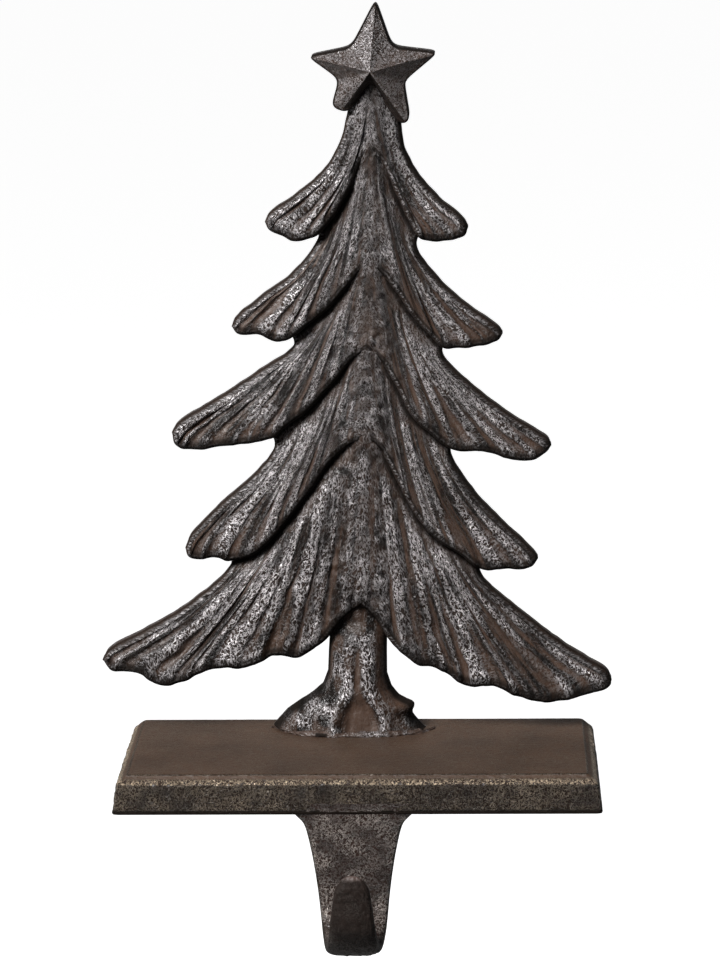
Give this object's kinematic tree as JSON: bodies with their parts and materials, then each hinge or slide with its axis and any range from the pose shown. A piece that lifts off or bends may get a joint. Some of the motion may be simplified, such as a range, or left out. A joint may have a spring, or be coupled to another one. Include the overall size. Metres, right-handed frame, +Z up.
{
  "type": "mantel hanger",
  "caption": "Cast-iron mantel hanger: a fir tree with a star stands on a bevelled plate, and a strap with a hook hangs from the plate's front edge.",
  "frame": {"origin": "centre of the plate's underside, which rests on the shelf", "axes": "+Z up towards the star, -Y towards the front, where the hook curls up, +X to the viewer's right"},
  "size_m": [0.1426, 0.084, 0.2511],
  "materials": {
    "casting": "rough sand casting under brown lacquer",
    "weld": "lumpy weld metal under brown lacquer"
  },
  "bodies": {
    "root": {"shelf_casting": "casting", "tree_casting": "casting", "weld_bead": "weld"}
  },
  "joints": []
}
